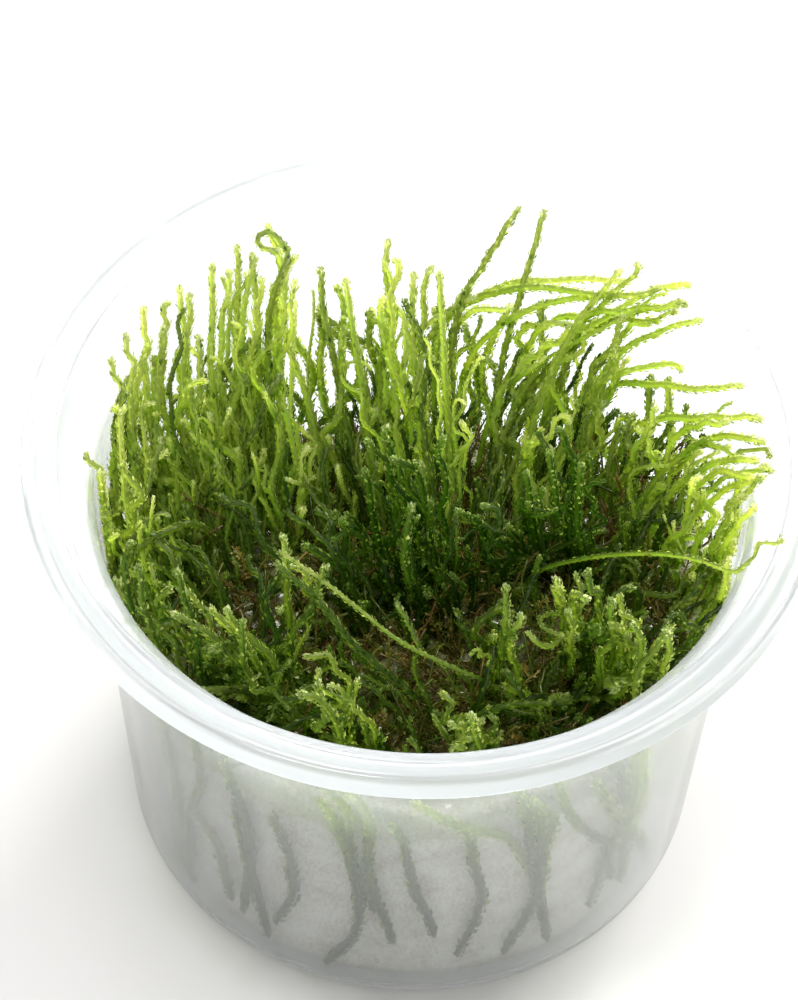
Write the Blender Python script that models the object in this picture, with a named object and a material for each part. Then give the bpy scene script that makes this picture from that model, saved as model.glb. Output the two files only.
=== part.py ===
"""Erect moss standing in a round cup of milky plastic.

The cup is one turned wall. A cushion of old tangled stems fills more than half of
it, stands a little clear of the wall and slopes down at the back. Living shoots
stand on the cushion and lean back and outwards, with their tips at about the level
of the rim. The origin is the centre of the cup's underside, the front of the cup
faces -Y, and +Z is up.
"""

import math

import bmesh
import bpy
import numpy as np
from mathutils import Vector
from mathutils.bvhtree import BVHTree

MM = 0.001

# Cup: TAPER is how far the wall leans out for each unit of height
CUP_HEIGHT = 70 * MM
RIM_RADIUS = 50.5 * MM
BASE_RADIUS = 37.9 * MM
WALL = 0.7 * MM
FLOOR = 0.8 * MM
TAPER = 0.07
SHOULDER_HEIGHT = 62.6 * MM
SHOULDER_RISE = 1.5 * MM
SEAT_RADIUS = 44.9 * MM
BASE_FILLET = 1.8 * MM
CUP_SEGMENTS = 60
CUP_SHARP_ANGLE = math.radians(40)

# Section of the rim, as millimetres in from its outer edge and down from its top:
# underside, skirt, outer step, groove, rounded lip
RIM_SECTION = [
    (3.8, 1.6), (0.9, 1.9), (0.7, 4.1), (0.0, 4.1), (0.1, 1.8), (0.7, 1.0),
    (1.4, 1.0), (2.0, 0.5), (2.9, 0.0), (4.1, 0.2), (4.5, 0.9),
]

# Cushion of old stems: level at the front, with a hollow, and sloping down at the back
MAT_HEIGHT = 43.5 * MM
MAT_LUMP = 1.1 * MM
MAT_LUMP_SPANS = (5.3 * MM, 4.7 * MM, 3.9 * MM)
MAT_HOLLOW_DEPTH = 2.2 * MM
MAT_HOLLOW_Y = -13 * MM
MAT_HOLLOW_SPREAD = 13.8 * MM
MAT_BACK = 15 * MM
MAT_BACK_SLOPE = 1.3
MAT_BACK_FOOT = 23 * MM
MAT_WALL_CLEARANCE = 2.6 * MM
MAT_UNDERSIDE_SHARE = 0.93
MAT_UNDERSIDE_ROUND = 2.5 * MM
MAT_RINGS = 8
MAT_SEGMENTS = 34
MAT_SHARP_ANGLE = math.radians(50)

# Single shoots: girths are shares of the radius at the foot, above it, below the tip
# and at the tip
SHOOT_RADIUS = 0.65 * MM
SHOOT_GIRTHS = (0.8, 0.9, 1.15, 0.45)
SHOOT_STATIONS = 8
SHOOT_ANKLE = 1.6 * MM
PATH_POINTS = 60

# A shoot that would touch a neighbour is moved sideways in rings of this step
NUDGE = 0.5 * MM
NUDGE_RINGS = 12
NUDGE_WAYS = 8

# Short young shoots that are still one with the cushion
STUB_COUNT = 60
STUB_SEED = 11
STUB_HEIGHTS = (9 * MM, 17 * MM)
STUB_BEND = 1.5 * MM
STUB_LEAN_OUT = 0.5
STUB_LEAN_BACK = (0.0, 0.5)
STUB_LEAN_ASIDE = (-0.2, 0.2)
STUB_GIRTHS = (0.75 * MM, 0.68 * MM, 0.62 * MM, 0.3 * MM)
STUB_SPACE = 2.5 * MM
STUB_COLLAR = 0.1 * MM
STUB_PATH_POINTS = 20

# Air kept between neighbouring pieces, and the distance between two shoots' middles
GAP = 0.35 * MM
SHOOT_SPACING = 2.3 * SHOOT_RADIUS + GAP
STUB_SPACING = 2.2 * SHOOT_RADIUS + GAP

# Points that each shoot passes, from foot to tip, in millimetres. A foot is set
# down on the cushion, so its height is worked out and isn't given here.
LEFT_SHOOTS = [
    [(-30, -2), (-34, 6, 52), (-36, 15, 60), (-37, 23, 67)],
    [(-31, -6), (-36, 4, 53), (-38.5, 13, 61), (-39, 19, 66)],
    [(-34, -9), (-39, 1, 52), (-40.5, 9, 60), (-41, 15, 66)],
    [(-25, -1), (-29, 10, 54), (-31, 19, 61), (-32, 27, 67)],
    [(-28, 1), (-32, 9, 53), (-34, 15, 59), (-34, 22, 64)],
    [(-22, -2), (-26, 9, 53), (-28, 20, 60), (-28, 31, 67)],
    [(-22, 3), (-24, 14, 53), (-25, 24, 61), (-25, 34, 67)],
    [(-18, 3), (-21, 14, 54), (-22, 23, 61), (-23, 32, 68)],
    [(-17, 0), (-19, 14, 55), (-20, 28, 62), (-18, 34, 65), (-20, 36.5, 67.5), (-23, 36, 68)],
    [(-12, 2), (-14, 13, 53), (-17, 21, 59), (-19, 27, 64)],
    [(-36, -11), (-40, -6, 51), (-42, -3, 59), (-43, 0, 65)],
    [(-32, -13), (-36, -6, 51), (-38, 2, 57), (-38.5, 9, 63)],
]
BACK_SHOOTS = [
    [(-7, 5), (-10, 14, 54), (-13, 24, 63), (-14, 30, 68)],
    [(-12, 9), (-15.5, 17, 53), (-15, 22, 60), (-15, 26, 65)],
    [(-4, 3), (-7.5, 14, 55), (-9.5, 24, 63), (-11, 28, 68)],
    [(-3, 8), (-6, 19, 55), (-5, 30, 64), (-6, 35, 68)],
    [(2, -1), (0, 11, 54), (-2, 22, 63), (-2, 30, 68)],
    [(5, 4), (3, 15, 55), (2, 24, 63), (1.5, 30, 68)],
    [(4, 15), (3, 25, 52), (4, 33, 58), (9, 37, 64), (11, 42, 68)],
    [(9, 14), (10, 26, 53), (12, 33, 59), (14, 38, 65), (14, 42, 68)],
    [(0, 15), (-1, 28, 51), (4, 36, 55), (17, 35, 61), (26, 31, 66)],
    [(9, 9), (13, 22, 53), (23, 29, 60), (34, 26.5, 67)],
    [(14, 9), (17, 22, 56), (23, 31, 64), (27, 33, 68)],
]
RIGHT_SHOOTS = [
    [(19, 11), (22, 22, 55), (27, 26, 60), (35, 24, 67)],
    [(20, 7), (22, 17, 54), (24, 23, 60), (25, 26, 65)],
    [(22, 13), (23, 23, 53), (29, 22, 57), (34, 16, 62), (41, 14, 67)],
    [(24, 9), (27, 18, 52), (35, 14, 60), (43, 8, 67)],
    [(26, 6), (32, 11, 54), (38, 11, 61), (43, 5, 67)],
    [(29, 2), (33, 7, 55), (38, 6, 61), (42, 1.5, 67)],
    [(33, -1), (35, 2, 54), (39, 2, 61), (41.5, -1, 66)],
    [(35.5, -5), (38, -4, 53), (40, -4, 60), (42, -5, 66)],
    [(35.5, -9.5), (39, -10, 53), (40, -11, 59), (41, -12, 63)],
    [(13, -4), (22, -8, 58), (31, -12, 64), (39, -16.5, 68), (44, -15, 71.5)],
]
FRONT_SHOOTS = [
    [(-28.5, -23), (-32, -23, 56), (-34, -22, 62), (-34, -19, 68)],
    [(-26, -26), (-27, -23, 55), (-28, -21, 62), (-30, -20, 68)],
    [(-18, -27), (-21, -25, 55), (-26, -24, 61), (-29, -25, 66)],
    [(-16, -17), (-16, -14, 54), (-17, -11, 64)],
    [(4, -23), (-6, -19, 52), (-13, -14, 58), (-18, -12, 62)],
    [(18, -24), (10, -23, 49), (0, -21, 55), (-10, -15, 60)],
    [(-8, -35), (-9, -34, 56), (-11, -34, 62), (-14, -36, 66)],
    [(9, -33), (8, -35, 57), (7, -37, 64)],
    [(27.5, -24.5), (28, -25, 57), (28, -24, 64), (26, -25, 68)],
    [(24, -20), (25, -19, 55), (24, -20, 62), (24, -22, 68)],
    [(21, -13), (20, -15, 56), (19, -16, 61), (21, -20, 66)],
    [(11, -21), (11, -19, 54), (11, -17, 63)],
]
MIDDLE_SHOOTS = [
    [(3, -6), (1, -1, 57), (-1, 1, 64), (-4, -2, 68)],
    [(-4, -5), (-6, -2, 57), (-7, -1, 65)],
    [(16, -1), (14, -1, 58), (13, -2, 67)],
    [(20, 1), (17, 1, 58), (16, 1, 68)],
    [(9, -2), (8, -1, 54), (5, -3, 60)],
]


def clear_objects():
    for old in list(bpy.data.objects):
        bpy.data.objects.remove(old, do_unlink=True)


def make_material(name, colour, roughness, alpha=1.0):
    material = bpy.data.materials.new(name)
    material.use_nodes = True
    shader = material.node_tree.nodes["Principled BSDF"]
    shader.inputs["Base Color"].default_value = (*colour, 1.0)
    shader.inputs["Roughness"].default_value = roughness
    shader.inputs["Metallic"].default_value = 0.0
    shader.inputs["Alpha"].default_value = alpha
    return material


def add_object(name, data, material):
    made = bpy.data.objects.new(name, data)
    bpy.context.scene.collection.objects.link(made)
    data.materials.append(material)
    return made


# The cup's wall


def outer_radius(z):
    return BASE_RADIUS + TAPER * z


def inner_radius(z):
    """The tapered wall's inside up to the shoulder, then the wider seat above it."""
    if z > SHOULDER_HEIGHT + SHOULDER_RISE:
        return SEAT_RADIUS
    return outer_radius(min(z, SHOULDER_HEIGHT)) - WALL


def cup_profile():
    """Half section, from the middle of the underside round the rim to the floor's middle."""
    fillet = [
        (
            outer_radius(BASE_FILLET) + BASE_FILLET * (math.sin(turn) - 1),
            BASE_FILLET * (1 - math.cos(turn)),
        )
        for turn in (0.0, math.pi / 4, math.pi / 2)
    ]
    shoulder = [
        (outer_radius(SHOULDER_HEIGHT), SHOULDER_HEIGHT - WALL / 2),
        (SEAT_RADIUS + WALL, SHOULDER_HEIGHT + SHOULDER_RISE - WALL / 2),
    ]
    rim = [(RIM_RADIUS - inwards * MM, CUP_HEIGHT - down * MM) for inwards, down in RIM_SECTION]
    inner_shoulder = [
        (SEAT_RADIUS, SHOULDER_HEIGHT + SHOULDER_RISE),
        (inner_radius(SHOULDER_HEIGHT), SHOULDER_HEIGHT),
    ]
    inner_fillet = [(r - WALL, z + FLOOR) for r, z in reversed(fillet)]
    return (
        [(0, 0)] + fillet + shoulder + rim + inner_shoulder + inner_fillet + [(0, FLOOR)]
    )


def make_cup():
    """Spins the half section once round the axis and welds it at the axis and the seam."""
    bm = bmesh.new()
    section = [bm.verts.new((r, 0, z)) for r, z in cup_profile()]
    edges = [bm.edges.new(pair) for pair in zip(section, section[1:])]
    bmesh.ops.spin(
        bm, geom=section + edges, cent=(0, 0, 0), axis=(0, 0, 1),
        angle=math.tau, steps=CUP_SEGMENTS, use_merge=True,
    )
    bmesh.ops.remove_doubles(bm, verts=bm.verts, dist=0.01 * MM)
    bmesh.ops.recalc_face_normals(bm, faces=bm.faces)
    mesh = bpy.data.meshes.new("cup")
    bm.to_mesh(mesh)
    bm.free()
    mesh.shade_smooth()
    mesh.set_sharp_from_angle(angle=CUP_SHARP_ANGLE)
    plastic = make_material("milky_plastic", (0.93, 0.94, 0.94), 0.35, alpha=0.45)
    return add_object("cup", mesh, plastic)


# The cushion of old stems


def mat_surface(x, y):
    """Height of the cushion's top: soft lumps, a hollow in front and a slope at the back."""
    across, along, aslant = MAT_LUMP_SPANS
    lumps = math.sin(x / across) * math.cos(y / along) + math.sin((x + y) / aslant)
    spread = math.hypot(x, y - MAT_HOLLOW_Y) / MAT_HOLLOW_SPREAD
    top = MAT_HEIGHT + MAT_LUMP * lumps - MAT_HOLLOW_DEPTH * math.exp(-spread * spread)
    slope = MAT_HEIGHT - MAT_BACK_SLOPE * (y - MAT_BACK)
    return max(min(top, slope), MAT_BACK_FOOT)


def ring_of(bm, fraction, height_of):
    """One closed ring of corners inside the cup's wall, at a fraction of its radius."""
    ring = []
    for k in range(MAT_SEGMENTS):
        turn = math.tau * k / MAT_SEGMENTS
        reach = fraction * (inner_radius(MAT_HEIGHT) - MAT_WALL_CLEARANCE)
        z = height_of(reach * math.cos(turn), reach * math.sin(turn))
        reach = min(reach, inner_radius(z) - MAT_WALL_CLEARANCE)
        ring.append(bm.verts.new((reach * math.cos(turn), reach * math.sin(turn), z)))
    return ring


def bridge_rings(bm, below, above):
    count = len(below)
    for k in range(count):
        n = (k + 1) % count
        bm.faces.new((below[k], below[n], above[n], above[k]))


def close_with_fan(bm, ring, height, upwards):
    hub = bm.verts.new((0, 0, height))
    for k, corner in enumerate(ring):
        after = ring[(k + 1) % len(ring)]
        bm.faces.new((corner, after, hub) if upwards else (after, corner, hub))


def make_mat_body():
    """Bottom, side and lumpy top of the cushion, clear of the cup all round."""
    bm = bmesh.new()
    bottom = FLOOR + GAP
    foot = ring_of(bm, MAT_UNDERSIDE_SHARE, lambda x, y: bottom)
    heel = ring_of(bm, 1.0, lambda x, y: bottom + MAT_UNDERSIDE_ROUND)
    close_with_fan(bm, foot, bottom, upwards=False)
    bridge_rings(bm, foot, heel)
    below = heel
    for j in range(MAT_RINGS, 0, -1):
        ring = ring_of(bm, j / MAT_RINGS, mat_surface)
        bridge_rings(bm, below, ring)
        below = ring
    close_with_fan(bm, below, mat_surface(0, 0), upwards=True)
    bmesh.ops.recalc_face_normals(bm, faces=bm.faces)
    return bm


# The shoots


def held_in_cup(point):
    """The point, drawn in towards the axis where a shoot there would meet the wall."""
    x, y, z = point
    reach = math.hypot(x, y)
    limit = inner_radius(z - SHOOT_RADIUS) - 1.2 * SHOOT_RADIUS - GAP
    if z > CUP_HEIGHT or reach <= limit:
        return np.array(point)
    return np.array((x * limit / reach, y * limit / reach, z))


def smooth_path(points, count):
    """A Catmull-Rom curve through the points, read at even steps of its length."""
    ends = np.vstack([2 * points[0] - points[1], points, 2 * points[-1] - points[-2]])
    dense = []
    for a, b, c, d in zip(ends, ends[1:], ends[2:], ends[3:]):
        for t in np.linspace(0, 1, 12, endpoint=False):
            bend = (2 * a - 5 * b + 4 * c - d) * t * t + (3 * b - a - 3 * c + d) * t ** 3
            dense.append((2 * b + (c - a) * t + bend) / 2)
    dense = np.vstack([dense, points[-1]])
    run = np.concatenate([[0], np.cumsum(np.linalg.norm(np.diff(dense, axis=0), axis=1))])
    steps = np.linspace(0, run[-1], count)
    return np.column_stack([np.interp(steps, run, dense[:, k]) for k in range(3)])


def surface_under(tree, x, y):
    hit = tree.ray_cast(Vector((x, y, CUP_HEIGHT)), Vector((0, 0, -1)))[0]
    return hit.z if hit else FLOOR


def stand_height(tree, x, y):
    """Highest surface of the cushion under a shoot's foot, with the gap on top."""
    reach = SHOOT_RADIUS + GAP
    turns = [k * math.pi / 3 for k in range(6)]
    around = [(0, 0)] + [(reach * math.cos(turn), reach * math.sin(turn)) for turn in turns]
    return max(surface_under(tree, x + dx, y + dy) for dx, dy in around) + GAP


def shoot_path(tree, points, shift):
    """Centre line of a shoot: its foot set on the cushion and all of it kept in the cup."""
    moved = [np.array(p) * MM + np.array((*shift, 0.0))[: len(p)] for p in points]
    x, y = held_in_cup((*moved[0], MAT_HEIGHT))[:2]
    foot = np.array((x, y, stand_height(tree, x, y)))
    ankle = foot + (0, 0, SHOOT_ANKLE)
    rest = [held_in_cup(p) for p in moved[1:]]
    path = smooth_path(np.array([foot, ankle] + rest), PATH_POINTS)
    return np.array([held_in_cup(p) for p in path])


def is_clear(path, others, distance):
    return all(
        np.linalg.norm(path[:, None] - other[None], axis=2).min() > distance
        for other in others
    )


def above_mat(tree, path):
    """True if all of the path but its lowest tenth is well clear of the cushion."""
    margin = SHOOT_RADIUS + GAP
    free = path[PATH_POINTS // 10:]
    return all(p[2] > surface_under(tree, p[0], p[1]) + margin for p in free)


def settled_path(tree, points, placed):
    """The shoot's path, moved sideways by the least step that clears its neighbours."""
    for ring in range(NUDGE_RINGS):
        for k in range(NUDGE_WAYS if ring else 1):
            turn = math.tau * k / NUDGE_WAYS
            shift = (NUDGE * ring * math.cos(turn), NUDGE * ring * math.sin(turn))
            path = shoot_path(tree, points, shift)
            if is_clear(path, placed, SHOOT_SPACING) and above_mat(tree, path):
                return path
    raise ValueError(f"no clear place for the shoot with its foot at {points[0]}")


def make_shoot(name, path, material):
    """A tapering tube along the path, thickest below its rounded tip."""
    curve = bpy.data.curves.new(name, "CURVE")
    curve.dimensions = "3D"
    curve.bevel_depth = SHOOT_RADIUS
    curve.bevel_resolution = 1
    curve.use_fill_caps = True
    spline = curve.splines.new("POLY")
    stations = np.linspace(0, len(path) - 1, SHOOT_STATIONS).round().astype(int)
    last = SHOOT_STATIONS - 1
    girth = np.interp(range(SHOOT_STATIONS), [0, 1, last - 1, last], SHOOT_GIRTHS)
    spline.points.add(SHOOT_STATIONS - 1)
    for point, at, thick in zip(spline.points, path[stations], girth):
        point.co = (*at, 1.0)
        point.radius = thick
    spline.use_smooth = True
    return add_object(name, curve, material)


def stub_rings(face, rng):
    """Corners of a short stub on this face, ring by ring, and the middles it passes."""
    centre = np.array(face.calc_center_median())
    outwards = centre * (1, 1, 0) / inner_radius(MAT_HEIGHT)
    aside = rng.uniform(*STUB_LEAN_ASIDE)
    back = rng.uniform(*STUB_LEAN_BACK)
    lean = STUB_LEAN_OUT * outwards + (aside, back, 1.0)
    height = rng.uniform(*STUB_HEIGHTS)
    bend = np.array((rng.uniform(-1, 1), rng.uniform(-1, 1), 0)) * STUB_BEND
    corners = np.array([v.co for v in face.verts]) - centre
    slanted = corners / np.linalg.norm(corners, axis=1)[:, None]
    level = corners * (1, 1, 0)
    level /= np.linalg.norm(level, axis=1)[:, None]
    rings, middles = [], []
    for share, girth in zip(np.linspace(0, 1, len(STUB_GIRTHS)), STUB_GIRTHS):
        middle = centre + lean * height * share + bend * math.sin(math.pi * share)
        around = level if share else slanted
        rings.append(middle + around * girth)
        middles.append(middle)
    return rings, np.array(middles)


def grow_stubs(bm, placed):
    """Extrudes short young shoots out of the cushion's own top, in one body with it."""
    rng = np.random.default_rng(STUB_SEED)
    tops = [
        f for f in bm.faces
        if len(f.verts) == 4 and f.normal.z > 0.5
        and math.sqrt(f.calc_area()) > STUB_SPACE
    ]
    grown = []
    for index in rng.permutation(len(tops)):
        if len(grown) == STUB_COUNT:
            break
        face = tops[index]
        rings, middles = stub_rings(face, rng)
        path = smooth_path(middles, STUB_PATH_POINTS)
        inside = all(np.allclose(held_in_cup(p), p) for p in path)
        if not inside or not is_clear(path, placed + grown, STUB_SPACING):
            continue
        inner = bmesh.ops.inset_individual(bm, faces=[face], thickness=STUB_COLLAR)["faces"]
        top = face if face.is_valid else inner[0]
        for corner, place in zip(top.verts, rings[0]):
            corner.co = place
        for ring in rings[1:]:
            top = bmesh.ops.extrude_discrete_faces(bm, faces=[top])["faces"][0]
            for corner, place in zip(top.verts, ring):
                corner.co = place
        grown.append(path)


def make_mat(bm):
    mesh = bpy.data.meshes.new("moss_mat")
    bm.to_mesh(mesh)
    mesh.shade_smooth()
    mesh.set_sharp_from_angle(angle=MAT_SHARP_ANGLE)
    return add_object("moss_mat", mesh, make_material("old_stems", (0.055, 0.06, 0.02), 0.55))


def main():
    clear_objects()
    make_cup()
    mat = make_mat_body()
    tree = BVHTree.FromBMesh(mat)
    groups = (
        ("shoot_left", LEFT_SHOOTS, (0.20, 0.34, 0.04)),
        ("shoot_back", BACK_SHOOTS, (0.16, 0.30, 0.03)),
        ("shoot_right", RIGHT_SHOOTS, (0.18, 0.33, 0.04)),
        ("shoot_front", FRONT_SHOOTS, (0.24, 0.40, 0.07)),
        ("shoot_middle", MIDDLE_SHOOTS, (0.12, 0.26, 0.04)),
    )
    placed = []
    for group, shoots, colour in groups:
        for number, points in enumerate(shoots, start=1):
            name = f"{group}_{number:02d}"
            path = settled_path(tree, points, placed)
            make_shoot(name, path, make_material(f"{name}_leaf", colour, 0.5))
            placed.append(path)
    grow_stubs(mat, placed)
    make_mat(mat)
    mat.free()


main()
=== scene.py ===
"""Erect moss growing in a round cup of milky plastic.

The scene is in metres with +Z up, and the origin is the middle of the cup's underside.
Sizes are written in millimetres and turned into metres as each mesh is made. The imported
part gives the cup, the cushion of old stems and each single shoot its place, and this
script gives them their looks.
"""

import math

import bmesh
import bpy
import numpy as np
from mathutils import Matrix, Vector, noise


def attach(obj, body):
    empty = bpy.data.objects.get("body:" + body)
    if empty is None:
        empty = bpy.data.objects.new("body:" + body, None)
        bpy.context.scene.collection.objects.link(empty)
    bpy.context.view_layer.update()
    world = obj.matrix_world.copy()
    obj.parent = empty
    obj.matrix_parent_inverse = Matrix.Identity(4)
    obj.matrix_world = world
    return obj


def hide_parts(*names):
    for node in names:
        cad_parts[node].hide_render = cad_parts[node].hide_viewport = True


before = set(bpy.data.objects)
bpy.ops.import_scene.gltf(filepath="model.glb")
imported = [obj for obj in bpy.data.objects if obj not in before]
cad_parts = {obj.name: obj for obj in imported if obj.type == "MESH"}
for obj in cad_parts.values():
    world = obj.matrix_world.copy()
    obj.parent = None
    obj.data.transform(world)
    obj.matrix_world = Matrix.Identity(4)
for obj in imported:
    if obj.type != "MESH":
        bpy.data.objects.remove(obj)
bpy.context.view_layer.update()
MM = 0.001


# Cup: one thin-walled tub, injection moulded in milky plastic that lets light through.
# Its wall leans out to a shoulder, and its rolled rim has a rounded lip, a groove and an
# outer bead with a short skirt. It stands on a foot ring round a slightly raised middle.

WALL_BASE_RADIUS = 37.9
WALL_LEAN = 0.07
WALL_THICKNESS = 0.7
SHOULDER_HEIGHT = 62.6
SHOULDER_ROUND = 1.5
SEAT_RADIUS = 44.9
CUP_HEIGHT = 70.0
CUP_TURNS = 192
MILK_FROM_HEIGHT = 62.5
MILK_FULL_HEIGHT = 65.5
CORNER_SHARE = 0.45
CORNER_POINTS = 5

# Corners of the half section: radius, height and rounding
CUP_SECTION = [
    (0.0, 0.45, 0.0), (33.0, 0.45, 0.3), (33.6, 0.0, 0.3), (37.95, 0.0, 1.7),
    (42.25, 62.0, 1.7), (45.55, 63.7, 1.3), (46.8, 68.35, 0.5), (49.5, 68.1, 0.4),
    (49.75, 65.9, 0.12), (50.5, 65.9, 0.3), (50.42, 68.7, 0.5), (49.7, 69.15, 0.25),
    (49.15, 68.85, 0.2), (48.7, 69.1, 0.25), (47.9, 70.0, 0.5), (46.7, 70.0, 0.4),
    (46.3, 69.55, 0.08), (46.25, 69.15, 0.08), (45.9, 69.0, 0.08), (44.95, 64.2, 1.3),
    (41.6, 62.55, 1.7), (37.3, 1.15, 1.5), (0.0, 1.15, 0.0),
]


def rounded(corners):
    """The section's points, with an arc over at most a share of each edge at a corner."""
    points = []
    for k, (r, z, rounding) in enumerate(corners):
        here = np.array((r, z))
        if rounding == 0:
            points.append(here)
            continue
        before = np.array(corners[k - 1][:2]) - here
        after = np.array(corners[k + 1][:2]) - here
        reach_in = min(rounding, CORNER_SHARE * np.linalg.norm(before))
        reach_out = min(rounding, CORNER_SHARE * np.linalg.norm(after))
        start = here + before / np.linalg.norm(before) * reach_in
        stop = here + after / np.linalg.norm(after) * reach_out
        for t in np.linspace(0, 1, CORNER_POINTS):
            points.append((1 - t) ** 2 * start + 2 * t * (1 - t) * here + t * t * stop)
    return points


def inner_radius(z):
    """Radius of the cup's inside at a height."""
    if z > SHOULDER_HEIGHT + SHOULDER_ROUND:
        return SEAT_RADIUS
    return WALL_BASE_RADIUS + WALL_LEAN * min(z, SHOULDER_HEIGHT) - WALL_THICKNESS


def new_piece(name, mesh, material):
    """An object in the scene, made of this mesh and material."""
    mesh.materials.append(material)
    made = bpy.data.objects.new(name, mesh)
    bpy.context.scene.collection.objects.link(made)
    return made


def cup_mesh():
    """The cup's section turned once round its axis, as rings of faces."""
    bm = bmesh.new()
    rings = []
    for r, z in rounded(CUP_SECTION):
        if r == 0:
            rings.append([bm.verts.new((0, 0, z * MM))] * CUP_TURNS)
            continue
        turns = [math.tau * k / CUP_TURNS for k in range(CUP_TURNS)]
        rings.append([
            bm.verts.new((r * math.cos(turn) * MM, r * math.sin(turn) * MM, z * MM))
            for turn in turns
        ])
    for ring, following in zip(rings, rings[1:]):
        for k in range(CUP_TURNS):
            after = (k + 1) % CUP_TURNS
            # A face at the axis has three corners, because two of its four are the same
            face = dict.fromkeys((ring[k], ring[after], following[after], following[k]))
            bm.faces.new(list(face))
    bmesh.ops.recalc_face_normals(bm, faces=bm.faces)
    mesh = bpy.data.meshes.new("cup_shell")
    bm.to_mesh(mesh)
    bm.free()
    mesh.shade_smooth()
    return mesh


def new_material(name):
    """A material with its node tree and its shader."""
    material = bpy.data.materials.new(name)
    material.use_nodes = True
    tree = material.node_tree
    return material, tree, tree.nodes["Principled BSDF"]


def add_node(tree, kind, inputs=(), **settings):
    """A new shader node with these settings and input values."""
    made = tree.nodes.new(kind)
    for key, value in settings.items():
        setattr(made, key, value)
    for key, value in dict(inputs).items():
        made.inputs[key].default_value = value
    return made


def wire(tree, *links):
    """Joins nodes, with each link as (from node, output, to node, input)."""
    for giver, output, taker, socket in links:
        tree.links.new(giver.outputs[output], taker.inputs[socket])


def ramp_node(tree, stops):
    """A colour ramp with these (place, colour) stops."""
    made = add_node(tree, "ShaderNodeValToRGB")
    elements = made.color_ramp.elements
    while len(elements) < len(stops):
        elements.new(1.0)
    for element, (place, colour) in zip(elements, stops):
        element.position = place
        element.color = (*colour, 1.0)
    return made


def wet_mottle_group():
    """Soft blotches over a surface with fine ones in them, as a mask and a height.

    Nothing here is one even colour, so every material has this, with its own scales.
    """
    tree = bpy.data.node_groups.new("Wet mottle", "ShaderNodeTree")
    for label, kind in (("Place", "NodeSocketVector"), ("Blotch Scale", "NodeSocketFloat"),
                        ("Fine Scale", "NodeSocketFloat"), ("Fine Share", "NodeSocketFloat")):
        tree.interface.new_socket(label, in_out="INPUT", socket_type=kind)
    for label in ("Mask", "Height"):
        tree.interface.new_socket(label, in_out="OUTPUT", socket_type="NodeSocketFloat")
    ends = add_node(tree, "NodeGroupInput")
    out = add_node(tree, "NodeGroupOutput")
    blotch = add_node(tree, "ShaderNodeTexNoise", {"Detail": 2.0})
    fine = add_node(tree, "ShaderNodeTexNoise", {"Detail": 3.0, "Roughness": 0.65})
    mix = add_node(tree, "ShaderNodeMix", data_type="FLOAT")
    wire(
        tree,
        (ends, "Place", blotch, "Vector"), (ends, "Blotch Scale", blotch, "Scale"),
        (ends, "Place", fine, "Vector"), (ends, "Fine Scale", fine, "Scale"),
        (ends, "Fine Share", mix, "Factor"), (blotch, "Fac", mix, "A"),
        (fine, "Fac", mix, "B"), (mix, "Result", out, "Mask"), (fine, "Fac", out, "Height"),
    )
    return tree


wet_mottle = wet_mottle_group()


def mottle_node(tree, place, blotch_scale, fine_scale, fine_share):
    """The wet mottle, placed in a material."""
    scales = {"Blotch Scale": blotch_scale, "Fine Scale": fine_scale, "Fine Share": fine_share}
    made = add_node(tree, "ShaderNodeGroup", scales, node_tree=wet_mottle)
    tree.links.new(place, made.inputs["Place"])
    return made


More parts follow.
